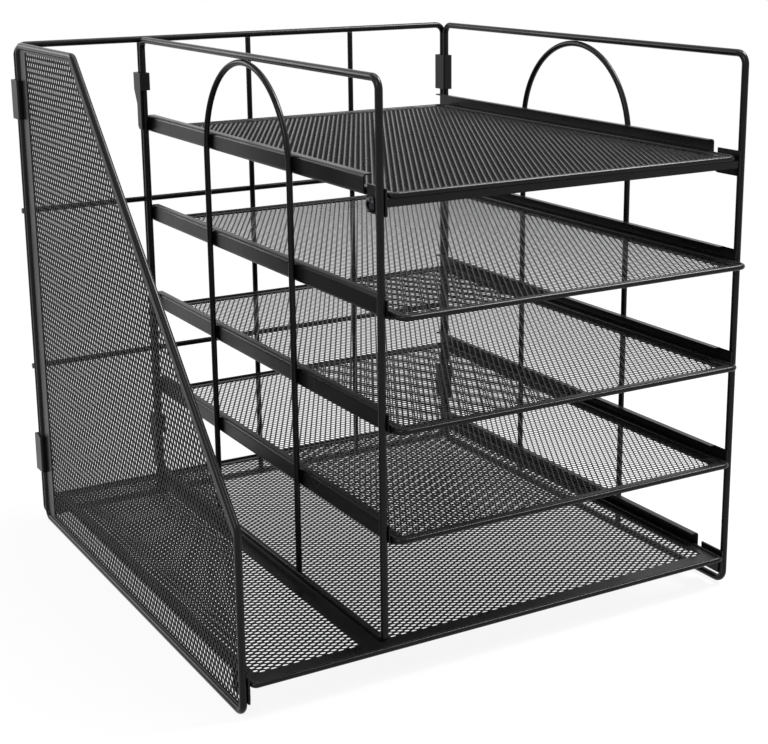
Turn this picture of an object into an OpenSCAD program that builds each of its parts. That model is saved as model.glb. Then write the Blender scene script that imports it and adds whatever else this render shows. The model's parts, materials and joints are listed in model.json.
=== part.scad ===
// Letter tray tower: a bent wire frame that holds five mesh trays, with an upright file slot at its left.
// The top and base trays are screwed in place, and the three trays between them slide out on rails.
// Millimetres, +X to the right, +Y to the back, +Z up, origin on the desk under the middle of the tower.

/* [Frame] */
// Spacing of the left panel and the middle frame, wire centre to wire centre
file_w = 80; // [60:1:110]
// Spacing of the middle frame and the right frame, wire centre to wire centre
tray_w = 228; // [200:1:260]
// Spacing of the front posts and the rear posts, wire centre to wire centre
frame_d = 306; // [270:1:340]
// Height of the frames above the top rails
top_room = 50.3; // [44:0.1:80]
// Diameter of the wire in the frames and the left panel's rim
frame_wire = 4; // [3.6:0.1:5]
// Diameter of the wire in the arches and in the back frame's inner wires
inner_wire = 3.5; // [2.5:0.1:4]
// Bend radius of the frames' corners, at the wire's centre
frame_bend = 6; // [4.5:0.5:10]
// Bend radius of the middle frame's two feet, at the wire's centre
foot_bend = 4; // [3:0.5:8]
// Spacing of an arch's two legs, wire centre to wire centre
arch_w = 110; // [80:1:140]
// Gap left between wires that are welded side by side
weld_gap = 0.05; // [0.02:0.01:0.2]

/* [Back frame] */
// Distance from the left panel to the centre upright
upright_centre_x = 156; // [120:1:190]
// Distance from the left panel to the right upright
upright_right_x = 233; // [200:1:270]
// Height of the lower crossbar
crossbar_low_z = 102.5; // [80:0.5:150]
// Height of the upper crossbar
crossbar_high_z = 204.3; // [170:0.5:230]

/* [Left panel] */
// Length of the panel's top edge, from the rear wire to the bend
panel_top = 102; // [60:1:160]
// Height of the panel's upright front edge, from the desk to the bend
panel_front_h = 98; // [60:1:150]
// Width of the folded hem along the rear edge
hem_rear = 12; // [6:0.5:20]
// Width of the folded hem along the slanted edge
hem_slant = 4.5; // [2.5:0.5:12]
// Width of the folded hem along the other edges
hem_edge = 1.5; // [1:0.1:8]
// Thickness of the folded hems and of the trays' borders
hem_t = 1; // [0.8:0.1:1.4]

/* [Mesh] */
// Thickness of the expanded mesh
mesh_t = 0.5; // [0.4:0.1:0.8]
// Least width of an opening, drawn far larger than the real mesh has it
mesh_opening = 16; // [12:0.5:24]
// Width of the strands between the openings
mesh_strand = 9; // [5:0.5:12]

/* [Rails] */
// Height of the base rail's underside above the desk
rail_base_z = 14.8; // [12:0.1:30]
// Height from one tier to the next
tier_pitch = 58.6; // [45:0.1:75]
// Height of a rail
rail_h = 10.5; // [8:0.1:14]
// Thickness of a rail's sheet
rail_t = 0.8; // [0.6:0.1:1]
// Width of the flange that carries a tray
rail_flange = 7; // [5:0.1:9]
// Width of the lip over a tray's edge
rail_lip = 5; // [3.5:0.1:6]
// Outside radius of a rail's two bends
rail_bend = 2; // [1.2:0.1:2.6]
// Distance from the front posts to the front end of the top and base rails
rail_front_room = 20; // [18.5:0.5:40]
// Length at a sliding rail's front where the lip is cut away
lip_cut = 9; // [4:0.5:20]

/* [Trays] */
// Diameter of a tray's rim wire
rim_wire = 3; // [2.4:0.1:3.4]
// Bend radius of a rim's corners, at the wire's centre
rim_bend = 4.5; // [3.5:0.5:12]
// Width of the flat border inside a rim
tray_border = 4; // [3:0.5:8]
// Gap between a tray's rim and the rail's upright web
side_gap = 0.5; // [0.4:0.05:0.8]
// Gap under the rim of a sliding tray
slide_gap = 0.3; // [0.2:0.05:0.4]
// Gap under the rim of a tray that is screwed in place
seat_gap = 0.1; // [0.05:0.05:0.2]
// Length of a sliding tray beyond the spacing of the posts
tray_extra = 4; // [0:0.5:6]
// Distance that the second tray stands out in front of the posts
tray_2_out = 14; // [10:0.5:20]
// Distance that the third tray stands out in front of the posts
tray_3_out = 11; // [8:0.5:20]
// Distance that the fourth tray stands out in front of the posts
tray_4_out = 8; // [7:0.5:20]
// Distance that the top tray stands out in front of the posts
top_out = 2.5; // [2:0.1:4]
// Distance from the top tray's rear edge to the rear posts
top_rear_room = 2.5; // [1:0.5:10]
// Height of the screw tabs under a fixed tray's rim
apron_h = 8; // [6.5:0.5:12]
// Height of the top tray's apron between its two tabs
apron_strip_h = 4; // [3:0.5:6.5]

/* [Base tray] */
// Distance that the base tray stands out in front of the posts
base_out = 4.5; // [3:0.5:20]
// Distance from the base tray's rear edge to the rear posts
base_rear_room = 4; // [1:0.5:10]
// Width of the base tray's border along the front
base_border = 9; // [5:0.5:14]
// Bend radius of the base rim's corners, at the wire's centre
base_bend = 2; // [1.8:0.1:8]
// Width of the base's flat strip on the file side of the middle frame
strip_file_side = 10; // [6:0.5:14]
// Width of the base's flat strip on the tray side of the middle frame
strip_tray_side = 5.5; // [4:0.5:10]

/* [Fixings] */
// Thickness of the screw plates and of the apron's sheet
plate_t = 1; // [0.8:0.1:1.2]
// Depth of a screw plate behind the post's centre
plate_d = 16; // [15:0.5:18]
// Height of a screw plate
plate_h = 14; // [12:0.5:16]
// Height of a screw plate below its screw
plate_below = 4.6; // [4.2:0.1:6]
// Distance from the post's centre to the screw
screw_back = 11; // [9:0.5:11]
// Diameter of a screw's shank
screw_d = 4; // [3:0.1:4]
// Length of the shank of the screws driven from outside
screw_len = 6; // [4:0.5:10]
// Length of the shank of the screws driven from inside at the left panel
short_screw_len = 3.2; // [2.4:0.1:3.2]
// Diameter of a screw's head
head_d = 8; // [6:0.1:8]
// Height of a screw's head
head_h = 2.6; // [2:0.1:3]
// Depth of the cross in a screw's head
cross_depth = 1.4; // [0.8:0.1:1.6]
// Width of the cross in a screw's head
cross_w = 1.1; // [0.8:0.1:1.6]
// Gap round a shank in its hole
hole_gap = 0.1; // [0.05:0.05:0.3]

/* [Clips] */
// Height of a clip that joins a frame to the back frame
clip_h = 24; // [16:0.5:30]
// Height of the middle frame's clips, without their tongue
short_clip_h = 11; // [8:0.5:20]
// Length of the tongue below a middle clip
tongue_l = 25; // [14:0.5:25]
// Height of the slanted neck at the top of that tongue
neck_l = 9; // [5:0.5:12]
// Wall of a clip
clip_wall = 1.2; // [0.8:0.1:1.6]
// Depth of a clip behind the back frame's wire
clip_back = 2; // [0:0.1:2.1]
// Gap between a clip and its wires
clip_gap = 0.2; // [0.1:0.05:0.3]
// Height of the upper clips above the top rails
clip_high_room = 3.3; // [1:0.1:10]
// Height of the lower clips above the base rails
clip_low_room = 7.7; // [2:0.1:14]

/* [Hidden] */
$fn = 48;

// Reach of a cutter past the face that it cuts
cut = 1;
// Step in radius between the runs and the bends of the slanted panel's rim
run_step = 0.01;
tiers = 5;
frame_r = frame_wire / 2;
inner_r = inner_wire / 2;
rim_r = rim_wire / 2;

// The tower is centred over the origin
x_left = -(file_w + tray_w) / 2;
x_mid = x_left + file_w;
x_right = x_mid + tray_w;
back_step = frame_wire + weld_gap;
bar_step = frame_r + inner_r + weld_gap;
depth = tray_2_out + frame_d + back_step + bar_step + inner_r;
y_front = tray_2_out - depth / 2;
y_rear = y_front + frame_d;
y_back = y_rear + back_step;
y_arch = (y_front + y_rear) / 2;

// Rails are numbered from the top tier down to the base
function rail_z(k) = rail_base_z + (tiers - k) * tier_pitch;
function rim_z(k, gap) = rail_z(k) + rail_t + gap + rim_r;
frame_h = rail_z(1) + rail_h + top_room;
top_z = rim_z(1, seat_gap);
base_z = rim_z(tiers, seat_gap);
// The middle frame stands on the base tray's rim
foot_z = base_z + rim_r + weld_gap + frame_r;
arch_top_z = frame_h - frame_wire - weld_gap - inner_r;
clip_high_z = rail_z(1) + rail_h + clip_high_room;
clip_low_z = rail_z(tiers) + rail_h + clip_low_room;

// Rims lie this far inside the frames, wire centre to wire centre
rim_in = frame_r + rail_t + side_gap + rim_r;
function slide_out(k) = k == 2 ? tray_2_out : k == 3 ? tray_3_out : tray_4_out;

coat = [0.09, 0.09, 0.095];
coat_mesh = [0.12, 0.12, 0.125];
coat_sheet = [0.15, 0.15, 0.155];
zinc = [0.35, 0.35, 0.36];

// Outlines run counter-clockwise
function rect(x0, y0, x1, y1) = [[x0, y0], [x1, y0], [x1, y1], [x0, y1]];
function before(p, i) = p[(i + len(p) - 1) % len(p)];
function after(p, i) = p[(i + 1) % len(p)];
function heading(a, b) = (b - a) / norm(b - a);
function left_of(v) = [-v.y, v.x];
function turn(p, i) =
    let (a = heading(before(p, i), p[i]), b = heading(p[i], after(p, i)))
    atan2(a.x * b.y - a.y * b.x, a * b);

// Start of the bend of radius r at corner i, the bend's centre and the angle that it starts from
function bend_leg(p, r, i) = r * tan(turn(p, i) / 2);
function bend_start(p, r, i) = p[i] - heading(before(p, i), p[i]) * bend_leg(p, r, i);
function bend_centre(p, r, i) = bend_start(p, r, i) + r * left_of(heading(before(p, i), p[i]));
function bend_angle(p, i) =
    let (a = heading(before(p, i), p[i]))
    atan2(-a.x, a.y);

// Ends of the bend of radius r at every corner of outline p
function bend_ends(p, r) = [
    for (i = [0:len(p) - 1])
        for (to = [before(p, i), after(p, i)])
            p[i] + heading(p[i], to) * bend_leg(p, r, i)
];

// Outline p with edge i moved inwards by w[i]
function inset(p, w) = [
    for (i = [0:len(p) - 1])
        let (
            na = left_of(heading(before(p, i), p[i])),
            nb = left_of(heading(p[i], after(p, i))),
            da = before(w, i),
            db = w[i]
        )
        p[i] + [da * nb.y - db * na.y, db * na.x - da * nb.x] / (na.x * nb.y - na.y * nb.x)
];
function all_edges(p, w) = [for (q = p) w];

// Outline p filled, with its corners rounded to radius r
module rounded(p, r) {
    polygon(bend_ends(p, r));
    for (i = [0:len(p) - 1])
        translate(bend_centre(p, r, i))
            circle(r = r);
}

// A closed round wire along outline p, bent to radii[i] at corner i
// A step makes the straight runs thinner by that radius and lets them reach into the bends
module bent_wire(p, radii, d, step = 0) {
    reach = 20 * step;
    for (i = [0:len(p) - 1]) {
        j = (i + 1) % len(p);
        along = heading(p[i], p[j]);
        run_start = p[i] + along * bend_leg(p, radii[i], i);
        run_end = p[j] - along * bend_leg(p, radii[j], j);
        translate(bend_centre(p, radii[i], i))
            rotate(bend_angle(p, i))
                rotate_extrude(angle = turn(p, i))
                    translate([radii[i], 0])
                        circle(d = d);
        translate(run_start - reach * along)
            rotate([0, 90, atan2(along.y, along.x)])
                cylinder(h = norm(run_end - run_start) + 2 * reach, d = d - 2 * step);
    }
}

// Draws in a plane across the width: the sketch's x runs to the back and its y runs up
module side_plane(x) {
    translate([x, 0, 0])
        rotate([90, 0, 90])
            children();
}

// Draws in a plane across the depth: the sketch's x runs to the right and its y runs up
module back_plane(y) {
    translate([0, y, 0])
        rotate([90, 0, 0])
            children();
}

// Draws a sheet of thickness t, lying flat and centred at height z
module flat_sheet(z, t) {
    translate([0, 0, z - t / 2])
        linear_extrude(t)
            children();
}

// Draws a sheet of thickness t, standing across the width and centred at x
module side_sheet(x, t) {
    side_plane(x - t / 2)
        linear_extrude(t)
            children();
}

// Window p filled by a coarse mesh: a grid of openings with a strand along the window's upright and level edges
// A slanted edge i cuts the openings at the distance edges[i]
module mesh_grid(p, edges = [0, 0, 0, 0]) {
    low = [min([for (q = p) q.x]), min([for (q = p) q.y])];
    size = [max([for (q = p) q.x]), max([for (q = p) q.y])] - low;
    counts = [for (s = size) floor((s - mesh_strand) / (mesh_opening + mesh_strand))];
    pitch = [for (k = [0, 1]) (size[k] - mesh_strand) / counts[k]];
    difference() {
        polygon(p);
        for (i = [0:counts.x - 1], j = [0:counts.y - 1])
            intersection() {
                polygon(inset(p, edges));
                translate(low + [mesh_strand + i * pitch.x, mesh_strand + j * pitch.y])
                    square([pitch.x - mesh_strand, pitch.y - mesh_strand]);
            }
    }
}

// Back frame
function back_outline() = rect(x_left, frame_r, x_right, frame_h - frame_r);

module back_frame_loop() {
    color(coat)
        back_plane(y_back)
            bent_wire(back_outline(), all_edges(back_outline(), frame_bend), frame_wire);
}

module back_upright(x) {
    color(coat)
        translate([x, y_back, frame_wire + weld_gap])
            cylinder(h = frame_h - 2 * (frame_wire + weld_gap), d = inner_wire);
}

module back_crossbar(z) {
    color(coat)
        translate([x_left - frame_r, y_back + bar_step, z])
            rotate([0, 90, 0])
                cylinder(h = x_right - x_left + frame_wire, d = inner_wire);
}

// Left panel: the edges are the bottom, the rear, the top, the slant and the front
panel_outline = [
    [y_front, frame_r],
    [y_rear, frame_r],
    [y_rear, frame_h - frame_r],
    [y_rear - panel_top, frame_h - frame_r],
    [y_front, panel_front_h]
];
// A square window corner needs this share of the rim's inner bend as hem, so that it stays clear of the bend
corner_share = 0.35;
panel_edge = max(hem_edge, corner_share * (frame_bend - frame_r));
panel_hems = [panel_edge, hem_rear, panel_edge, hem_slant, panel_edge];
panel_window = inset(panel_outline, [for (w = panel_hems) frame_r + w]);

module left_panel_rim() {
    color(coat)
        side_plane(x_left)
            bent_wire(panel_outline, all_edges(panel_outline, frame_bend), frame_wire, run_step);
}

module left_panel_hem() {
    color(coat_sheet)
        side_sheet(x_left, hem_t)
            difference() {
                rounded(inset(panel_outline, all_edges(panel_outline, frame_r)), frame_bend - frame_r);
                polygon(panel_window);
            }
}

module left_panel_mesh() {
    color(coat_mesh)
        side_sheet(x_left, mesh_t)
            mesh_grid(panel_window, [0, 0, 0, mesh_strand, 0]);
}

// Side frames
function side_outline(z) = rect(y_front, z, y_rear, frame_h - frame_r);

module middle_frame_loop() {
    color(coat)
        side_plane(x_mid)
            bent_wire(side_outline(foot_z), [foot_bend, foot_bend, frame_bend, frame_bend], frame_wire);
}

module right_frame_loop() {
    color(coat)
        side_plane(x_right)
            bent_wire(side_outline(frame_r), all_edges(side_outline(frame_r), frame_bend), frame_wire);
}

// An arch under a frame's top wire, with legs down to height z
module arch(x, z) {
    spring_z = arch_top_z - arch_w / 2;
    side_plane(x) {
        translate([y_arch, spring_z])
            rotate_extrude(angle = 180)
                translate([arch_w / 2, 0])
                    circle(d = inner_wire);
        for (side = [-1, 1])
            translate([y_arch + side * arch_w / 2, z])
                rotate([-90, 0, 0])
                    cylinder(h = spring_z - z, d = inner_wire);
    }
}

module middle_frame_arch() {
    color(coat)
        arch(x_mid + frame_r - inner_r, foot_z + frame_r + weld_gap);
}

module right_frame_arch() {
    color(coat)
        arch(x_right - frame_r + inner_r, frame_wire + weld_gap);
}

// Section of a rail: the web stands at x = 0 and the flange and lip run to +x
module rail_section() {
    translate([0, rail_bend])
        square([rail_t, rail_h - 2 * rail_bend]);
    translate([rail_bend, 0])
        square([rail_flange - rail_bend, rail_t]);
    translate([rail_bend, rail_h - rail_t])
        square([rail_lip - rail_bend, rail_t]);
    for (y = [rail_bend, rail_h - rail_bend])
        translate([rail_bend, y])
            intersection() {
                difference() {
                    circle(r = rail_bend);
                    circle(r = rail_bend - rail_t);
                }
                translate([-rail_bend, y == rail_bend ? -rail_bend : 0])
                    square(rail_bend);
            }
}

function rail_is_short(k) = k == 1 || k == tiers;
function rail_start(k) = rail_is_short(k) ? y_front + rail_front_room : y_front - frame_r;

// A rail for tier k, with its web at x = 0
module rail(k) {
    length = y_rear + frame_r - rail_start(k);
    translate([0, y_rear + frame_r, rail_z(k)])
        rotate([90, 0, 0])
            difference() {
                linear_extrude(length)
                    rail_section();
                if (!rail_is_short(k))
                    translate([rail_t, rail_h - rail_bend, length - lip_cut])
                        cube([rail_lip, rail_bend + cut, lip_cut + cut]);
            }
}

module middle_rail(k) {
    color(coat_sheet)
        translate([x_mid + frame_r, 0, 0])
            rail(k);
}

module right_rail(k) {
    color(coat_sheet)
        translate([x_right - frame_r, 0, 0])
            mirror([1, 0, 0])
                rail(k);
}

// Screws and their plates: a fixed tray's screws sit half way up its apron or tabs
function screw_z(rim) = rim - rim_r - apron_h / 2;
hole_r = screw_d / 2 + hole_gap;

// A hole along the width, long enough for any plate
module screw_hole(y, z) {
    translate([0, y, z])
        rotate([0, 90, 0])
            cylinder(r = hole_r, h = 4 * plate_t, center = true);
}

// A plate on the inner side of a post at y, reaching in the direction dir, with its post side at x = 0
module screw_plate(y, dir, z) {
    near = y - dir * frame_r;
    far = y + dir * plate_d;
    difference() {
        translate([0, min(near, far), z - plate_below])
            cube([plate_t, abs(far - near), plate_h]);
        screw_hole(y + dir * screw_back, z);
    }
}

// A tray's tab inside a screw plate, hanging under the rim and starting at a lead before the post's centre
module screw_tab(y, dir, z, lead = 0) {
    near = y - dir * lead;
    far = y + dir * plate_d;
    difference() {
        translate([plate_t, min(near, far), z - apron_h / 2])
            cube([plate_t, abs(far - near), apron_h]);
        screw_hole(y + dir * screw_back, z);
    }
}

module left_panel_plates() {
    color(coat_sheet)
        translate([x_left + frame_r, 0, 0]) {
            screw_plate(y_front, 1, screw_z(base_z));
            screw_plate(y_rear, -1, screw_z(base_z));
        }
}

module middle_front_plate() {
    color(coat_sheet)
        translate([x_mid + frame_r, 0, 0])
            screw_plate(y_front, 1, screw_z(top_z));
}

module right_front_plates() {
    color(coat_sheet)
        translate([x_right - frame_r, 0, 0])
            mirror([1, 0, 0]) {
                screw_plate(y_front, 1, screw_z(top_z));
                screw_plate(y_front, 1, screw_z(base_z));
            }
}

module base_tray_tabs() {
    color(coat_sheet) {
        translate([x_left + frame_r, 0, 0]) {
            screw_tab(y_front, 1, screw_z(base_z));
            screw_tab(y_rear, -1, screw_z(base_z));
        }
        translate([x_right - frame_r, 0, 0])
            mirror([1, 0, 0])
                screw_tab(y_front, 1, screw_z(base_z));
    }
}

// A pan head screw along +x, with the underside of its head at x = 0
module screw(length) {
    rotate([0, 90, 0]) {
        cylinder(d = screw_d, h = length);
        difference() {
            rotate_extrude()
                polygon([
                    [0, 0], [head_d / 2, 0], [head_d / 2, -head_h / 2], [head_d / 2 - 1, -head_h], [0, -head_h]
                ]);
            for (a = [0, 90])
                rotate(a)
                    translate([-head_d / 4, -cross_w / 2, -head_h - cut])
                        cube([head_d / 2, cross_w, cross_depth + cut]);
        }
    }
}

module top_tray_screws() {
    color(zinc) {
        translate([x_mid + frame_r, y_front + screw_back, screw_z(top_z)])
            screw(screw_len);
        translate([x_right - frame_r, y_front + screw_back, screw_z(top_z)])
            rotate(180)
                screw(screw_len);
    }
}

module base_tray_screws() {
    color(zinc) {
        for (y = [y_front + screw_back, y_rear - screw_back])
            translate([x_left + frame_r + 2 * plate_t, y, screw_z(base_z)])
                rotate(180)
                    screw(short_screw_len);
        translate([x_right - frame_r, y_front + screw_back, screw_z(base_z)])
            rotate(180)
                screw(screw_len);
    }
}

// Clips round a frame's rear post and the back frame's wire behind it
function clip_outline(reach) = rect(-reach, y_rear - reach, reach, y_back + clip_back + reach);

module clip_section() {
    difference() {
        rounded(clip_outline(frame_r + clip_gap + clip_wall), clip_wall);
        polygon(clip_outline(frame_r + clip_gap));
    }
}

module clip(x, z, height) {
    translate([x, 0, z])
        linear_extrude(height)
            clip_section();
}

// A clip with a slot at its front for the left panel's hem
module slotted_clip(x, z, height) {
    slot_w = hem_t + 2 * clip_gap;
    translate([x, 0, z])
        linear_extrude(height)
            difference() {
                clip_section();
                translate([-slot_w / 2, y_rear - frame_r - clip_gap - clip_wall - cut])
                    square([slot_w, frame_r + clip_wall + cut]);
            }
}

// A clip with a tongue that narrows downwards along the outer side of the wires
module tongue_clip(x, z) {
    front = y_rear - frame_r - clip_gap;
    back = y_back + frame_r + clip_gap + clip_back;
    clip(x, z, short_clip_h);
    side_plane(x - frame_r - clip_gap - clip_wall)
        linear_extrude(clip_wall)
            polygon([
                [front, z], [front, z - tongue_l], [y_back - frame_r, z - tongue_l],
                [y_back, z - tongue_l + frame_r], [y_back, z - neck_l], [back, z]
            ]);
}

module left_panel_clips() {
    color(coat)
        for (z = [clip_low_z, clip_high_z])
            slotted_clip(x_left, z, clip_h);
}

module middle_clips() {
    color(coat)
        for (z = [clip_low_z, clip_high_z])
            tongue_clip(x_mid, z + clip_h - short_clip_h);
}

module right_clips() {
    color(coat)
        for (z = [clip_low_z, clip_high_z])
            clip(x_right, z, clip_h);
}

// Trays: outlines follow the centre of the rim wire
function tray_outline(front, rear) = rect(x_mid + rim_in, front + rim_r, x_right - rim_in, rear - rim_r);
function slide_outline(k) =
    let (front = y_front - slide_out(k))
    tray_outline(front, front + frame_d + tray_extra);
function inner_outline(p, front) =
    let (w = rim_r + tray_border)
    inset(p, [rim_r + front, w, w, w]);
top_outline = tray_outline(y_front - top_out, y_rear - top_rear_room);
base_outline = rect(
    x_left + rim_in, y_front - base_out + rim_r,
    x_right - rim_in, y_rear - base_rear_room - rim_r
);
base_inner = inner_outline(base_outline, base_border);
base_window_left = rect(base_inner[0].x, base_inner[0].y, x_mid - strip_file_side, base_inner[2].y);
base_window_right = rect(x_mid + strip_tray_side, base_inner[0].y, base_inner[2].x, base_inner[2].y);

// What fills a rim of outline p
module border(p, bend) {
    rounded(inset(p, all_edges(p, rim_r)), bend - rim_r);
}

module tray_rim(p, z, bend = rim_bend) {
    color(coat)
        translate([0, 0, z])
            bent_wire(p, all_edges(p, bend), rim_wire);
}

module tray_border(p, z) {
    color(coat_sheet)
        flat_sheet(z, hem_t)
            difference() {
                border(p, rim_bend);
                polygon(inner_outline(p, tray_border));
            }
}

module tray_mesh(p, z) {
    color(coat_mesh)
        flat_sheet(z, mesh_t)
            mesh_grid(inner_outline(p, tray_border));
}

// The apron is a strip under the front rim with a tab welded behind each end
module top_tray_apron() {
    strip_y = top_outline[0].y - plate_t / 2;
    strip_x = x_mid + frame_r + plate_t;
    lead = y_front - strip_y - plate_t - weld_gap;
    color(coat_sheet) {
        translate([strip_x, strip_y, top_z - rim_r - apron_strip_h])
            cube([x_right - frame_r - plate_t - strip_x, plate_t, apron_strip_h]);
        translate([x_mid + frame_r, 0, 0])
            screw_tab(y_front, 1, screw_z(top_z), lead);
        translate([x_right - frame_r, 0, 0])
            mirror([1, 0, 0])
                screw_tab(y_front, 1, screw_z(top_z), lead);
    }
}

module base_tray_border() {
    color(coat_sheet)
        flat_sheet(base_z, hem_t)
            difference() {
                border(base_outline, base_bend);
                polygon(base_window_left);
                polygon(base_window_right);
            }
}

module base_mesh(window) {
    color(coat_mesh)
        flat_sheet(base_z, mesh_t)
            mesh_grid(window);
}

back_frame_loop();
back_upright(x_mid);  // back_upright_middle
back_upright(x_left + upright_centre_x);  // back_upright_centre
back_upright(x_left + upright_right_x);  // back_upright_right
back_crossbar(crossbar_high_z);  // back_crossbar_upper
back_crossbar(crossbar_low_z);  // back_crossbar_lower
left_panel_rim();
left_panel_hem();
left_panel_mesh();
left_panel_plates();
left_panel_clips();
middle_frame_loop();
middle_frame_arch();
middle_rail(1);  // middle_rail_1
middle_rail(2);  // middle_rail_2
middle_rail(3);  // middle_rail_3
middle_rail(4);  // middle_rail_4
middle_front_plate();
middle_clips();
right_frame_loop();
right_frame_arch();
right_rail(1);  // right_rail_1
right_rail(2);  // right_rail_2
right_rail(3);  // right_rail_3
right_rail(4);  // right_rail_4
right_rail(5);  // right_rail_5
right_front_plates();
right_clips();
tray_rim(top_outline, top_z);  // top_tray_rim
tray_border(top_outline, top_z);  // top_tray_border
tray_mesh(top_outline, top_z);  // top_tray_mesh
top_tray_apron();
top_tray_screws();
tray_rim(slide_outline(2), rim_z(2, slide_gap));  // tray_2_rim
tray_border(slide_outline(2), rim_z(2, slide_gap));  // tray_2_border
tray_mesh(slide_outline(2), rim_z(2, slide_gap));  // tray_2_mesh
tray_rim(slide_outline(3), rim_z(3, slide_gap));  // tray_3_rim
tray_border(slide_outline(3), rim_z(3, slide_gap));  // tray_3_border
tray_mesh(slide_outline(3), rim_z(3, slide_gap));  // tray_3_mesh
tray_rim(slide_outline(4), rim_z(4, slide_gap));  // tray_4_rim
tray_border(slide_outline(4), rim_z(4, slide_gap));  // tray_4_border
tray_mesh(slide_outline(4), rim_z(4, slide_gap));  // tray_4_mesh
tray_rim(base_outline, base_z, base_bend);  // base_tray_rim
base_tray_border();
base_mesh(base_window_left);  // base_mesh_left
base_mesh(base_window_right);  // base_mesh_right
base_tray_tabs();
base_tray_screws();
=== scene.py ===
import json
import math

import bmesh
import bpy
from mathutils import Euler, Matrix, Vector, geometry


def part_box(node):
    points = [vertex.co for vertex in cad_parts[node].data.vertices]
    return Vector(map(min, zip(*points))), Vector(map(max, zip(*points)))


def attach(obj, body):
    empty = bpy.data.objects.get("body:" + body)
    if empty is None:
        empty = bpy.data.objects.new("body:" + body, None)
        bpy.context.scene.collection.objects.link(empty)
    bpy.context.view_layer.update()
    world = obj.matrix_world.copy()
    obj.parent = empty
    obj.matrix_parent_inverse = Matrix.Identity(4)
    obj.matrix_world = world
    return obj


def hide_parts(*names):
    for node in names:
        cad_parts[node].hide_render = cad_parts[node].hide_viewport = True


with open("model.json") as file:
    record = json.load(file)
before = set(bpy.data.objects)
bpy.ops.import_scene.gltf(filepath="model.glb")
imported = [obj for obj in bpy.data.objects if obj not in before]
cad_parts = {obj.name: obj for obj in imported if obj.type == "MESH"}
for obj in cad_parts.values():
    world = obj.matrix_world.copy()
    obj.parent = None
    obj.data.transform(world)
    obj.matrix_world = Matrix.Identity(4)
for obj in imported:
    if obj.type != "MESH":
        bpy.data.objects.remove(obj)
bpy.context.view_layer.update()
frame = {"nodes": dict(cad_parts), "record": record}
mm = 0.001
nodes = frame["nodes"]
record = frame["record"]
bodyOfNode = {n: body for body, names in record["behaviour"]["bodies"].items() for n in names}
slotOfNode = {part["node"]: part["material_slot"] for part in record["subparts"]}
print("frame loaded:", len(nodes), "nodes")


# helpers for node trees: an input is a plain value or the socket that feeds it

def addNode(tree, kind, at, inputs=None, **settings):
    n = tree.nodes.new(kind)
    n.location = at
    for key, value in settings.items():
        setattr(n, key, value)
    for key, value in (inputs or {}).items():
        if isinstance(value, bpy.types.NodeSocket):
            tree.links.new(value, n.inputs[key])
        else:
            n.inputs[key].default_value = value
    return n


def addMath(tree, at, operation, *values):
    inputs = dict(enumerate(values))
    return addNode(tree, "ShaderNodeMath", at, inputs, operation=operation).outputs["Value"]


def addSockets(tree, way, kinds):
    for name, kind in kinds.items():
        tree.interface.new_socket(name, in_out=way, socket_type="NodeSocket" + kind)


def emptyTree(owner):
    owner.use_nodes = True
    owner.node_tree.nodes.clear()
    return owner.node_tree


# helpers for objects and meshes

def newObject(name, data):
    obj = bpy.data.objects.new(name, data)
    bpy.context.scene.collection.objects.link(obj)
    return obj


def meshObject(name, bm):
    mesh = bpy.data.meshes.new(name)
    bm.to_mesh(mesh)
    bm.free()
    return newObject(name, mesh)


def evaluatedMesh(obj):
    bpy.context.view_layer.update()
    graph = bpy.context.evaluated_depsgraph_get()
    mesh = bpy.data.meshes.new_from_object(obj.evaluated_get(graph),
                                           preserve_all_data_layers=True, depsgraph=graph)
    mesh.name = obj.name
    return mesh


def socketId(tree, name):
    for item in tree.interface.items_tree:
        if item.item_type == "SOCKET" and item.in_out == "INPUT" and item.name == name:
            return item.identifier
    raise KeyError(name)


def runTree(obj, tree, values):
    mod = obj.modifiers.new(tree.name, "NODES")
    mod.node_group = tree
    for name, value in values.items():
        mod[socketId(tree, name)] = value
    made = evaluatedMesh(obj)
    obj.modifiers.remove(mod)
    obj.data = made


# powder coat: fine orange peel, cloudy gloss and a painted top light, a lighter colour on what
# faces up

coatPattern = {"peelDetail": 2.0, "cloudDetail": 5.0, "cloudRoughness": 0.6,
               "cloudLow": 0.3, "cloudHigh": 0.7,  # part of the cloud noise that changes the gloss
               "topLightFrom": 0.55, "topLightFull": 1.0}  # how far up a face looks, where the painted top light starts and where it is full


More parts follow.
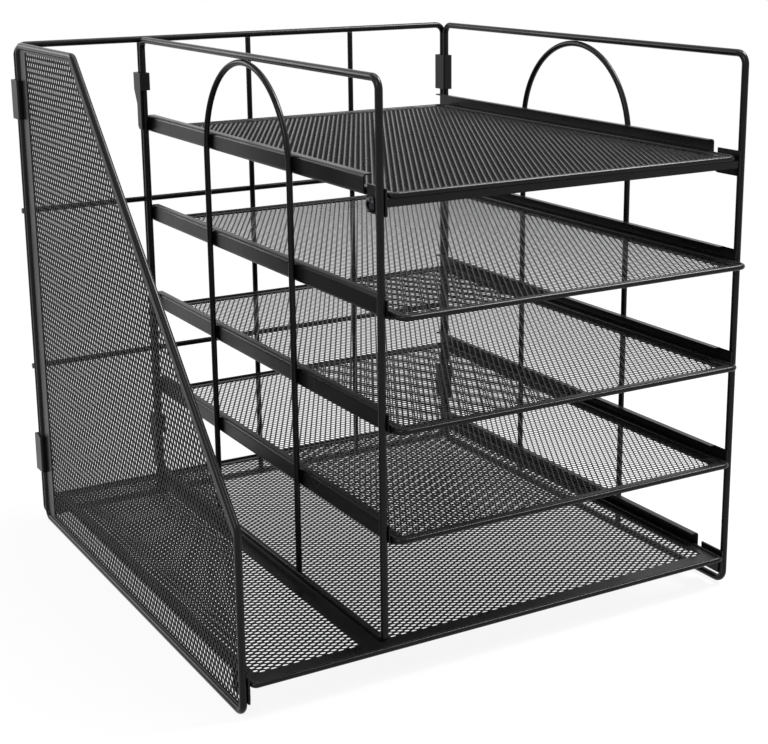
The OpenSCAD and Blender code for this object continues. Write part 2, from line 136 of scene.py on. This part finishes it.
def makeCoatGroup(s):
    group = bpy.data.node_groups.new("powderCoat", "ShaderNodeTree")
    addSockets(group, "INPUT", {
        "Peel Scale": "Float", "Cloud Scale": "Float", "Gloss Low": "Float", "Gloss High": "Float",
        "Dust": "Float", "Deep": "Color", "Worn": "Color", "Dust Colour": "Color"})
    addSockets(group, "OUTPUT", {"Colour": "Color", "Roughness": "Float", "Height": "Float"})
    inp = addNode(group, "NodeGroupInput", (-900, 0)).outputs
    here = addNode(group, "ShaderNodeTexCoord", (-900, -300)).outputs["Object"]
    peel = addNode(group, "ShaderNodeTexNoise", (-600, 250), {
        "Vector": here, "Scale": inp["Peel Scale"], "Detail": s["peelDetail"]}).outputs["Fac"]
    cloud = addNode(group, "ShaderNodeTexNoise", (-600, 0), {
        "Vector": here, "Scale": inp["Cloud Scale"], "Detail": s["cloudDetail"],
        "Roughness": s["cloudRoughness"]}).outputs["Fac"]
    gloss = addNode(group, "ShaderNodeMapRange", (-250, 150), {
        "Value": cloud, "From Min": s["cloudLow"], "From Max": s["cloudHigh"],
        "To Min": inp["Gloss Low"], "To Max": inp["Gloss High"]}).outputs["Result"]
    tint = addNode(group, "ShaderNodeMix", (-250, -100), {
        "Factor": cloud, "A": inp["Deep"], "B": inp["Worn"]}, data_type="RGBA").outputs["Result"]

    # painted top light: faces that look up are mixed towards a lighter colour, patchy by the cloud
    # noise
    normal = addNode(group, "ShaderNodeNewGeometry", (-900, -550)).outputs["Normal"]
    axes = addNode(group, "ShaderNodeSeparateXYZ", (-700, -550), {"Vector": normal}).outputs
    up = addNode(group, "ShaderNodeMapRange", (-500, -550), {
        "Value": axes["Z"], "From Min": s["topLightFrom"], "From Max": s["topLightFull"]}).outputs["Result"]
    patchy = addMath(group, (-250, -450), "MULTIPLY", up, cloud)
    amount = addMath(group, (-50, -450), "MULTIPLY", patchy, inp["Dust"])
    topLit = addNode(group, "ShaderNodeMix", (200, -200), {
        "Factor": amount, "A": tint, "B": inp["Dust Colour"]}, data_type="RGBA").outputs["Result"]
    addNode(group, "NodeGroupOutput", (700, 0), {
        "Colour": topLit, "Roughness": gloss, "Height": peel})
    return group


coatGroup = makeCoatGroup(coatPattern)


def makeSurface(tree, inputs):
    shader = addNode(tree, "ShaderNodeBsdfPrincipled", (400, 0), inputs)
    addNode(tree, "ShaderNodeOutputMaterial", (700, 0), {"Surface": shader.outputs["BSDF"]})


def makeCoat(name, s):
    mat = bpy.data.materials.new(name)
    tree = emptyTree(mat)
    coat = addNode(tree, "ShaderNodeGroup", (-100, 0), s["coat"], node_tree=coatGroup).outputs
    bump = addNode(tree, "ShaderNodeBump", (150, -250), {
        "Strength": s["peelStrength"], "Distance": s["peelDepth"], "Height": coat["Height"]})
    makeSurface(tree, {
        "Base Color": coat["Colour"], "Roughness": coat["Roughness"],
        "Normal": bump.outputs["Normal"], "Specular IOR Level": s["specular"]})
    return mat


# in each finish, the painted top light on faces that look up has its own strength and colour
wireFinish = {
    "coat": {"Peel Scale": 1500.0, "Cloud Scale": 40.0, "Gloss Low": 0.2, "Gloss High": 0.3,
             "Deep": (0.0022, 0.0022, 0.0025, 1), "Worn": (0.0055, 0.0055, 0.006, 1),
             "Dust": 0.2, "Dust Colour": (0.05, 0.05, 0.05, 1)},
    "peelStrength": 0.12, "peelDepth": 0.1 * mm, "specular": 0.13}
sheetFinish = {
    "coat": {"Peel Scale": 1200.0, "Cloud Scale": 30.0, "Gloss Low": 0.24, "Gloss High": 0.36,
             "Deep": (0.002, 0.002, 0.0022, 1), "Worn": (0.005, 0.005, 0.0054, 1),
             "Dust": 0.25, "Dust Colour": (0.05, 0.05, 0.05, 1)},
    "peelStrength": 0.2, "peelDepth": 0.12 * mm, "specular": 0.15}
meshFinish = {
    "coat": {"Peel Scale": 1800.0, "Cloud Scale": 60.0, "Gloss Low": 0.24, "Gloss High": 0.36,
             "Deep": (0.0022, 0.0022, 0.0025, 1), "Worn": (0.006, 0.006, 0.0065, 1),
             "Dust": 0.25, "Dust Colour": (0.05, 0.05, 0.05, 1)},
    "peelStrength": 0.2, "peelDepth": 0.08 * mm, "specular": 0.06}
wireCoat = makeCoat("wireCoat", wireFinish)
sheetCoat = makeCoat("sheetCoat", sheetFinish)
meshCoat = makeCoat("meshCoat", meshFinish)
topTrayCoat = makeCoat("topTrayCoat", {**meshFinish, "specular": 0.3})  # catches the lamps


# blackened steel of the screws

screwFinish = {"grain": 900.0, "grainDetail": 4.0, "smooth": 0.2, "rough": 0.35,
               "dark": (0.012, 0.012, 0.013, 1), "light": (0.04, 0.04, 0.043, 1)}


def makeScrewSteel(s):
    mat = bpy.data.materials.new("screwSteel")
    tree = emptyTree(mat)
    here = addNode(tree, "ShaderNodeTexCoord", (-700, 0)).outputs["Object"]
    grain = addNode(tree, "ShaderNodeTexNoise", (-450, 0), {
        "Vector": here, "Scale": s["grain"], "Detail": s["grainDetail"]}).outputs["Fac"]
    tone = addNode(tree, "ShaderNodeValToRGB", (-200, 100), {"Fac": grain})
    tone.color_ramp.elements[0].color = s["dark"]
    tone.color_ramp.elements[1].color = s["light"]
    rough = addNode(tree, "ShaderNodeMapRange", (-200, -150), {
        "Value": grain, "To Min": s["smooth"], "To Max": s["rough"]})
    makeSurface(tree, {"Base Color": tone.outputs["Color"], "Roughness": rough.outputs["Result"],
                       "Metallic": 1.0})
    return mat


screwSteel = makeScrewSteel(screwFinish)
finishOfSlot = {"wire_coat": wireCoat, "sheet_coat": sheetCoat, "mesh_coat": meshCoat,
                "screw_steel": screwSteel}
for name, obj in nodes.items():
    obj.data.materials.clear()
    obj.data.materials.append(finishOfSlot[slotOfNode[name]])
print("materials set")


# expanded mesh: one strand cell repeated over the outline of a sheet

sheetEdge = {"spare": 6.0 * mm,  # strands laid past the window before the trim
             "hidden": 2.0 * mm,  # what is left of that, under the border
             "digits": 6, "straight": 1e-9, "onPlane": 1e-8}
sheetGrid = {"spareSteps": 2.0, "rayHeight": 10 * mm, "weld": 0.01 * mm}


def makeCell(s):
    # a diamond with a six-sided opening, its two long strands leaning against each other
    across, deep = s["longPitch"] / 2, s["shortPitch"] / 2
    tip, shoulder, halfHole, lean = s["tip"], s["shoulder"], s["halfHole"], s["lean"]
    rim = [(across, 0), (0, deep), (-across, 0), (0, -deep)]
    hole = [(tip, 0, 0), (shoulder, halfHole, lean), (-shoulder, halfHole, lean),
            (-tip, 0, 0), (-shoulder, -halfHole, -lean), (shoulder, -halfHole, -lean)]
    bm = bmesh.new()
    layers = []
    for z in (s["thick"] / 2, -s["thick"] / 2):
        layers.append(([bm.verts.new((x, y, z)) for x, y in rim],
                       [bm.verts.new((x, y, z + rise)) for x, y, rise in hole]))
    for side, (r, h) in enumerate(layers):
        faces = [(r[0], r[1], h[1], h[0]), (r[1], h[2], h[1]), (r[1], r[2], h[3], h[2]),
                 (r[2], r[3], h[4], h[3]), (r[3], h[5], h[4]), (r[3], r[0], h[0], h[5])]
        for f in faces:
            bm.faces.new(f if side == 0 else f[::-1])
    top, low = layers[0][1], layers[1][1]
    for i in range(len(hole)):
        j = (i + 1) % len(hole)
        bm.faces.new((top[i], top[j], low[j], low[i]))
    for f in bm.faces:
        f.smooth = True
    return meshObject("strandCell", bm)


def makeSheetTree(s):
    tree = bpy.data.node_groups.new("expandedSheet", "GeometryNodeTree")
    addSockets(tree, "INPUT", {"Geometry": "Geometry", "Long Pitch": "Float",
                               "Short Pitch": "Float", "Cell": "Object", "Finish": "Material"})
    addSockets(tree, "OUTPUT", {"Geometry": "Geometry"})
    inp = addNode(tree, "NodeGroupInput", (-1400, 0)).outputs

    box = addNode(tree, "GeometryNodeBoundBox", (-1150, 200), {"Geometry": inp["Geometry"]}).outputs
    size = addNode(tree, "ShaderNodeVectorMath", (-950, 300), {0: box["Max"], 1: box["Min"]},
                   operation="SUBTRACT")
    middle = addNode(tree, "ShaderNodeMix", (-950, 100), {
        "Factor": 0.5, "A": box["Min"], "B": box["Max"]}, data_type="VECTOR")
    sizes = addNode(tree, "ShaderNodeSeparateXYZ", (-780, 300), {"Vector": size.outputs["Vector"]})

    # two grids, the second half a cell further both ways
    spans, counts, halves = {}, {}, {}
    for axis, pitch, y in (("X", inp["Long Pitch"], 400), ("Y", inp["Short Pitch"], 50)):
        share = addMath(tree, (-600, y), "DIVIDE", sizes.outputs[axis], pitch)
        whole = addMath(tree, (-430, y), "CEIL", share)
        steps = addMath(tree, (-260, y), "ADD", whole, s["spareSteps"])
        counts[axis] = addMath(tree, (-90, y), "ADD", steps, 1.0)
        spans[axis] = addMath(tree, (-90, y - 150), "MULTIPLY", steps, pitch)
        halves[axis] = addMath(tree, (-430, y - 150), "MULTIPLY", pitch, 0.5)
    grid = addNode(tree, "GeometryNodeMeshGrid", (100, 200), {
        "Size X": spans["X"], "Size Y": spans["Y"],
        "Vertices X": counts["X"], "Vertices Y": counts["Y"]}).outputs["Mesh"]
    shift = addNode(tree, "ShaderNodeCombineXYZ", (100, -100), halves)
    staggered = addNode(tree, "GeometryNodeTransform", (300, 50), {
        "Geometry": grid, "Translation": shift.outputs["Vector"]})
    both = addNode(tree, "GeometryNodeJoinGeometry", (480, 150))
    for points in (grid, staggered.outputs["Geometry"]):
        tree.links.new(points, both.inputs["Geometry"])
    placed = addNode(tree, "GeometryNodeTransform", (640, 150), {
        "Geometry": both.outputs["Geometry"], "Translation": middle.outputs["Result"]})

    # cells stand only on points over the outline
    here = addNode(tree, "GeometryNodeInputPosition", (300, -250)).outputs["Position"]
    above = addNode(tree, "ShaderNodeVectorMath", (480, -250), {
        0: here, 1: (0, 0, s["rayHeight"])}, operation="ADD")
    inside = addNode(tree, "GeometryNodeRaycast", (640, -150), {
        "Target Geometry": inp["Geometry"], "Source Position": above.outputs["Vector"],
        "Ray Direction": (0, 0, -1), "Ray Length": 2 * s["rayHeight"]})
    cell = addNode(tree, "GeometryNodeObjectInfo", (640, -450), {"Object": inp["Cell"]})
    spread = addNode(tree, "GeometryNodeInstanceOnPoints", (860, 100), {
        "Points": placed.outputs["Geometry"], "Selection": inside.outputs["Is Hit"],
        "Instance": cell.outputs["Geometry"]})
    real = addNode(tree, "GeometryNodeRealizeInstances", (1030, 100), {
        "Geometry": spread.outputs["Instances"]})
    merged = addNode(tree, "GeometryNodeMergeByDistance", (1180, 100), {
        "Geometry": real.outputs["Geometry"], "Distance": s["weld"]})
    painted = addNode(tree, "GeometryNodeSetMaterial", (1340, 100), {
        "Geometry": merged.outputs["Geometry"], "Material": inp["Finish"]})
    addNode(tree, "NodeGroupOutput", (1500, 0), {"Geometry": painted.outputs["Geometry"]})
    return tree


def grownOutline(points, grow):
    hull = [Vector(points[i]) for i in geometry.convex_hull_2d(points)]
    hull = [p for i, p in enumerate(hull)
            if abs((p - hull[i - 1]).cross(hull[(i + 1) % len(hull)] - p)) > sheetEdge["straight"]]
    area = sum(hull[i - 1].cross(hull[i]) for i in range(len(hull)))
    if area < 0:
        hull.reverse()
    moved = []
    for i, p in enumerate(hull):
        a = (p - hull[i - 1]).normalized()
        b = (hull[(i + 1) % len(hull)] - p).normalized()
        na, nb = Vector((a.y, -a.x)), Vector((b.y, -b.x))
        moved.append(p + (na + nb) * grow / (1 + na.dot(nb)))
    return moved


def trimSheet(mesh, outline):
    bm = bmesh.new()
    bm.from_mesh(mesh)
    for i, p in enumerate(outline):
        along = outline[(i + 1) % len(outline)] - p
        everything = bm.verts[:] + bm.edges[:] + bm.faces[:]
        cut = bmesh.ops.bisect_plane(bm, geom=everything, dist=sheetEdge["onPlane"],
                                     plane_co=p.to_3d(), plane_no=(along.y, -along.x, 0),
                                     clear_outer=True)
        edges = [e for e in cut["geom_cut"] if isinstance(e, bmesh.types.BMEdge)]
        bmesh.ops.holes_fill(bm, edges=edges, sides=0)
    print("   open edges left:", sum(1 for e in bm.edges if len(e.link_faces) != 2))
    bm.to_mesh(mesh)
    bm.free()


# long way of the mesh: across the base, front to back on the trays, upright on the panel
layFlatAcross = Matrix.Identity(3)
layFlatDeep = Matrix(((0, 1, 0), (-1, 0, 0), (0, 0, 1)))
standUpright = Matrix(((0, 0, -1), (0, 1, 0), (1, 0, 0)))
trayMesh = {"longPitch": 6.25 * mm, "shortPitch": 3.45 * mm,
            "tip": 2.2 * mm, "shoulder": 0.55 * mm, "lean": 0.23 * mm}
baseMesh = {"longPitch": 6.35 * mm, "shortPitch": 3.8 * mm,
            "tip": 1.95 * mm, "shoulder": 0.75 * mm, "lean": 0.05 * mm, "thick": 0.3 * mm}
panelMesh = {"longPitch": 6.35 * mm, "shortPitch": 3.8 * mm,
             "tip": 2.25 * mm, "shoulder": 0.55 * mm, "lean": 0.1 * mm, "thick": 0.6 * mm,
             "halfHole": 1.06 * mm}
meshSheets = {
    "left_panel_mesh": {"turn": standUpright, "coat": meshCoat, "cell": panelMesh},
    "top_tray_mesh": {"turn": layFlatDeep, "coat": topTrayCoat,
                      "cell": {**trayMesh, "halfHole": 1.06 * mm, "thick": 0.45 * mm}},
    "tray_2_mesh": {"turn": layFlatDeep, "coat": meshCoat,
                    "cell": {**trayMesh, "halfHole": 0.9 * mm, "thick": 0.32 * mm}},
    "tray_3_mesh": {"turn": layFlatDeep, "coat": meshCoat,
                    "cell": {**trayMesh, "halfHole": 1.02 * mm, "thick": 0.36 * mm}},
    "tray_4_mesh": {"turn": layFlatDeep, "coat": meshCoat,
                    "cell": {**trayMesh, "halfHole": 1.03 * mm, "thick": 0.34 * mm}},
    "base_mesh_left": {"turn": layFlatAcross, "coat": meshCoat,
                       "cell": {**baseMesh, "halfHole": 0.88 * mm}},
    "base_mesh_right": {"turn": layFlatAcross, "coat": meshCoat,
                        "cell": {**baseMesh, "halfHole": 0.82 * mm}}}


def makeMeshSheet(tree, node, turn, coat, cell):
    low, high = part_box(node)
    centre = (low + high) / 2
    flat = turn.transposed()
    window = sorted({(flat @ (v.co - centre)).to_2d().to_tuple(sheetEdge["digits"])
                     for v in nodes[node].data.vertices})
    outline = grownOutline(window, sheetEdge["spare"])
    mesh = bpy.data.meshes.new("outline")
    mesh.from_pydata([(p.x, p.y, 0) for p in outline], [], [list(range(len(outline)))])
    obj = newObject(node.replace("_mesh", "_expanded"), mesh)
    strands = makeCell(cell)
    runTree(obj, tree, {"Long Pitch": cell["longPitch"], "Short Pitch": cell["shortPitch"],
                        "Cell": strands, "Finish": coat})
    bpy.data.objects.remove(strands)
    trimSheet(obj.data, grownOutline(window, sheetEdge["hidden"]))
    obj.data.transform(Matrix.Translation(centre) @ turn.to_4x4())
    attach(obj, bodyOfNode[node])
    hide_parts(node)
    triangles = sum(len(p.vertices) - 2 for p in obj.data.polygons)
    print(" ", obj.name, len(obj.data.vertices), "points", triangles, "triangles")


sheetTree = makeSheetTree(sheetGrid)
for node, sheet in meshSheets.items():
    makeMeshSheet(sheetTree, node, **sheet)
print("expanded mesh made")


# screws: a domed head with a cross recess, set where the CAD screws stand

screwShape = {"segments": 32, "seed": 5,
              "dome": [(0.35, 1.0), (0.54, 0.9625), (0.73, 0.875),  # share of radius, of height
                       (0.88, 0.7), (0.97, 0.45), (1.0, 0.3)],
              "crossLong": (0.56, 0.34), "crossWide": (0.17, 0.1),  # at its mouth and its bottom
              "crossDeep": 0.52, "crossMouth": 1.2,
              "tipTaper": 0.4 * mm, "tipShare": 0.8, "sharp": 0.7,
              "apart": 20 * mm, "end": 0.05 * mm, "headShare": 0.9}  # to find the CAD screws


def screwPlaces(node, s):
    groups = []
    for v in nodes[node].data.vertices:
        near = next((g for g in groups if (g[0] - v.co).length < s["apart"]), None)
        if near is None:
            groups.append([v.co.copy()])
        else:
            near.append(v.co.copy())
    places = []
    for g in groups:
        lows = [min(p[i] for p in g) for i in range(3)]
        highs = [max(p[i] for p in g) for i in range(3)]
        y, z = (lows[1] + highs[1]) / 2, (lows[2] + highs[2]) / 2
        radii = [math.hypot(p.y - y, p.z - z) for p in g]
        headRadius = max(radii)
        lowEnd = max(r for p, r in zip(g, radii) if p.x < lows[0] + s["end"])
        highEnd = max(r for p, r in zip(g, radii) if p.x > highs[0] - s["end"])
        headRing = [p.x for p, r in zip(g, radii) if r > s["headShare"] * headRadius]
        if lowEnd > highEnd:  # head at the low end
            under, turn = max(headRing), 0.0
            headHigh, length = under - lows[0], highs[0] - under
        else:
            under, turn = min(headRing), math.pi
            headHigh, length = highs[0] - under, under - lows[0]
        places.append({"at": (under, y, z), "turn": turn, "length": length,
                       "headRadius": headRadius, "headHigh": headHigh,
                       "shankRadius": min(lowEnd, highEnd)})
    return places


def makeCrossArm(s, place, along):
    # a wedge that narrows towards the bottom of the recess, its arm along y or z
    bm = bmesh.new()
    mouth = -s["crossMouth"] * place["headHigh"]
    bottom = -place["headHigh"] * (1 - s["crossDeep"])
    rings = []
    for x, longShare, wideShare in zip((mouth, bottom), s["crossLong"], s["crossWide"]):
        a, b = longShare * place["headRadius"], wideShare * place["headRadius"]
        corners = [(-a, -b), (a, -b), (a, b), (-a, b)]
        rings.append([bm.verts.new((x, u, v) if along == "y" else (x, v, -u)) for u, v in corners])
    bm.faces.new(rings[0][::-1])
    bm.faces.new(rings[1])
    for i in range(4):
        j = (i + 1) % 4
        bm.faces.new((rings[0][i], rings[0][j], rings[1][j], rings[1][i]))
    bmesh.ops.recalc_face_normals(bm, faces=bm.faces[:])
    return meshObject("crossArm", bm)


def makeScrew(s, place):
    # turned about x, the head towards -x with its underside at 0
    profile = [(-high * place["headHigh"], out * place["headRadius"]) for out, high in s["dome"]]
    profile += [(0, place["headRadius"]), (0, place["shankRadius"]),
                (place["length"] - s["tipTaper"], place["shankRadius"]),
                (place["length"], place["shankRadius"] * s["tipShare"])]
    angles = [2 * math.pi * i / s["segments"] for i in range(s["segments"])]
    bm = bmesh.new()
    rings = [[bm.verts.new((x, r * math.cos(a), r * math.sin(a))) for a in angles]
             for x, r in profile]
    for a, b in zip(rings, rings[1:]):
        for i in range(s["segments"]):
            j = (i + 1) % s["segments"]
            bm.faces.new((a[i], a[j], b[j], b[i]))
    bm.faces.new(rings[0])
    bm.faces.new(rings[-1])
    bmesh.ops.recalc_face_normals(bm, faces=bm.faces[:])
    screw = meshObject("screw", bm)
    arms = [makeCrossArm(s, place, along) for along in ("y", "z")]
    for arm in arms:
        cut = screw.modifiers.new("recess", "BOOLEAN")
        cut.operation, cut.solver, cut.object = "DIFFERENCE", "EXACT", arm
    made = evaluatedMesh(screw)
    screw.modifiers.clear()
    screw.data = made
    for p in made.polygons:
        p.use_smooth = True
    made.set_sharp_from_angle(angle=s["sharp"])
    for arm in arms:
        bpy.data.objects.remove(arm)
    return screw


def makeScrewTree():
    tree = bpy.data.node_groups.new("screwSet", "GeometryNodeTree")
    addSockets(tree, "INPUT", {"Geometry": "Geometry", "Long Screw": "Object",
                               "Short Screw": "Object", "Spin Seed": "Int", "Finish": "Material"})
    addSockets(tree, "OUTPUT", {"Geometry": "Geometry"})
    inp = addNode(tree, "NodeGroupInput", (-900, 0)).outputs

    # each screw stops at its own angle
    spin = addNode(tree, "FunctionNodeRandomValue", (-650, -250), {
        "Min": 0.0, "Max": math.pi / 2, "Seed": inp["Spin Seed"]}, data_type="FLOAT")
    turn = addNode(tree, "GeometryNodeInputNamedAttribute", (-650, -450), {"Name": "turn"},
                   data_type="FLOAT")
    angles = addNode(tree, "ShaderNodeCombineXYZ", (-400, -300), {
        "X": spin.outputs["Value"], "Z": turn.outputs["Attribute"]})
    facing = addNode(tree, "FunctionNodeEulerToRotation", (-200, -300), {
        "Euler": angles.outputs["Vector"]})

    short = addNode(tree, "GeometryNodeInputNamedAttribute", (-650, 300), {"Name": "short"},
                    data_type="BOOLEAN").outputs["Attribute"]
    longer = addNode(tree, "FunctionNodeBooleanMath", (-400, 300), {0: short},
                     operation="NOT").outputs["Boolean"]
    both = addNode(tree, "GeometryNodeJoinGeometry", (350, 0))
    for y, kind, choice in ((200, "Long Screw", longer), (-50, "Short Screw", short)):
        model = addNode(tree, "GeometryNodeObjectInfo", (-200, y), {"Object": inp[kind]})
        spread = addNode(tree, "GeometryNodeInstanceOnPoints", (100, y), {
            "Points": inp["Geometry"], "Selection": choice,
            "Instance": model.outputs["Geometry"], "Rotation": facing.outputs["Rotation"]})
        tree.links.new(spread.outputs["Instances"], both.inputs["Geometry"])
    real = addNode(tree, "GeometryNodeRealizeInstances", (530, 0), {
        "Geometry": both.outputs["Geometry"]})
    painted = addNode(tree, "GeometryNodeSetMaterial", (710, 0), {
        "Geometry": real.outputs["Geometry"], "Material": inp["Finish"]})
    addNode(tree, "NodeGroupOutput", (900, 0), {"Geometry": painted.outputs["Geometry"]})
    return tree


def makeScrewSet(tree, node, s):
    places = screwPlaces(node, s)
    longest = max(places, key=lambda p: p["length"])
    shortest = min(places, key=lambda p: p["length"])
    between = (longest["length"] + shortest["length"]) / 2
    longScrew, shortScrew = makeScrew(s, longest), makeScrew(s, shortest)
    mesh = bpy.data.meshes.new("screwPoints")
    mesh.from_pydata([p["at"] for p in places], [], [])
    turns = mesh.attributes.new("turn", "FLOAT", "POINT")
    shorts = mesh.attributes.new("short", "BOOLEAN", "POINT")
    for i, p in enumerate(places):
        turns.data[i].value = p["turn"]
        shorts.data[i].value = p["length"] < between
    obj = newObject(node.replace("_screws", "_crossed_screws"), mesh)
    runTree(obj, tree, {"Long Screw": longScrew, "Short Screw": shortScrew,
                        "Spin Seed": s["seed"], "Finish": screwSteel})
    for screw in (longScrew, shortScrew):
        bpy.data.objects.remove(screw)
    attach(obj, bodyOfNode[node])
    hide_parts(node)
    print(" ", obj.name, len(places), "screws", len(obj.data.polygons), "faces")


screwTree = makeScrewTree()
for node in ("top_tray_screws", "base_tray_screws"):
    makeScrewSet(screwTree, node, screwShape)
print("screws made")


# studio: a white floor that fades into a white world, and four soft boxes

studio = {"floorSize": 60.0, "floorDrop": 0.5 * mm, "floorColour": (0.9, 0.9, 0.9, 1),
          "glowNear": 0.9, "glowFar": 1.0,  # how white the floor is seen, by the object and away
          "nearRadius": 0.3, "farRadius": 1.2,
          "worldColour": (1, 1, 1, 1), "worldSeen": 1.0, "worldFill": 0.45}


def seenRays(tree):
    # 1 for what the camera, a reflection or a clear piece shows
    path = addNode(tree, "ShaderNodeLightPath", (-600, 300)).outputs
    seen = addMath(tree, (-400, 300), "MAXIMUM", path["Is Camera Ray"], path["Is Glossy Ray"])
    return addMath(tree, (-200, 300), "MAXIMUM", seen, path["Is Transmission Ray"])


def makeFloor(s):
    bpy.ops.mesh.primitive_plane_add(size=s["floorSize"], location=(0, 0, -s["floorDrop"]))
    floor = bpy.context.active_object
    floor.name = "floor"
    mat = bpy.data.materials.new("floorPaper")
    tree = emptyTree(mat)
    here = addNode(tree, "ShaderNodeTexCoord", (-600, 550)).outputs["Object"]
    away = addNode(tree, "ShaderNodeVectorMath", (-400, 550), {0: here}, operation="LENGTH")
    fade = addNode(tree, "ShaderNodeMapRange", (-200, 550), {
        "Value": away.outputs["Value"], "From Min": s["nearRadius"], "From Max": s["farRadius"],
        "To Min": s["glowNear"], "To Max": s["glowFar"]}, interpolation_type="SMOOTHSTEP")
    share = addMath(tree, (0, 300), "MULTIPLY", seenRays(tree), fade.outputs["Result"])
    paper = addNode(tree, "ShaderNodeBsdfDiffuse", (0, 100), {"Color": s["floorColour"]})
    glow = addNode(tree, "ShaderNodeEmission", (0, -100))
    mix = addNode(tree, "ShaderNodeMixShader", (300, 0), {
        "Fac": share, 1: paper.outputs["BSDF"], 2: glow.outputs["Emission"]})
    addNode(tree, "ShaderNodeOutputMaterial", (500, 0), {"Surface": mix.outputs["Shader"]})
    floor.data.materials.append(mat)


def makeWorld(s):
    world = bpy.data.worlds.new("studioWorld")
    bpy.context.scene.world = world
    tree = emptyTree(world)
    fill = addNode(tree, "ShaderNodeBackground", (0, 100), {
        "Color": s["worldColour"], "Strength": s["worldFill"]})
    white = addNode(tree, "ShaderNodeBackground", (0, -100), {
        "Color": s["worldColour"], "Strength": s["worldSeen"]})
    mix = addNode(tree, "ShaderNodeMixShader", (300, 0), {
        "Fac": seenRays(tree), 1: fill.outputs["Background"], 2: white.outputs["Background"]})
    addNode(tree, "ShaderNodeOutputWorld", (500, 0), {"Surface": mix.outputs["Shader"]})


lookPoint = (0, 0, 0.15)  # the middle of the tower
softBoxes = {
    "above": {"at": (0.1, 0.2, 1.4), "size": (0.8, 0.8), "power": 8.0},
    "rightAbove": {"at": (0.8, -0.2, 1.25), "size": (0.5, 0.5), "power": 32.0},
    "leftBack": {"at": (-0.77, 1.34, 0.65), "size": (0.5, 0.6), "power": 5.0},
    "leftFront": {"at": (-1.1, -0.6, 1.1), "size": (0.6, 0.8), "power": 9.0}}


def makeSoftBox(name, s):
    data = bpy.data.lights.new(name, "AREA")
    data.shape = "RECTANGLE"
    data.size, data.size_y = s["size"]
    data.energy = s["power"]
    obj = newObject(name, data)
    obj.location = s["at"]
    towards = Vector(lookPoint) - Vector(s["at"])
    obj.rotation_euler = towards.to_track_quat("-Z", "Y").to_euler()


makeFloor(studio)
makeWorld(studio)
for name, softBox in softBoxes.items():
    makeSoftBox(name, softBox)
print("studio lit")


# camera where the photograph was taken, with part of its lens shift

photoCamera = {"at": (-0.43098, -0.78234, 0.37827), "turn": (1.3306, 0.0437, -0.5615),
               "focalPixels": 1539.43, "centreRow": 300.0, "imageSize": (768, 744),
               "sensor": 36.0, "clip": (0.05, 20.0)}


def makeCamera(s):
    data = bpy.data.cameras.new("photoCamera")
    cam = newObject("photoCamera", data)
    wide, tall = s["imageSize"]
    data.sensor_width = s["sensor"]
    data.lens = s["focalPixels"] * s["sensor"] / wide
    data.shift_y = (s["centreRow"] - tall / 2) / wide
    data.clip_start, data.clip_end = s["clip"]
    cam.location = s["at"]
    cam.rotation_mode = "YXZ"
    cam.rotation_euler = Euler(s["turn"], "YXZ")
    bpy.context.scene.camera = cam


makeCamera(photoCamera)
bpy.context.scene.view_settings.view_transform = "Standard"
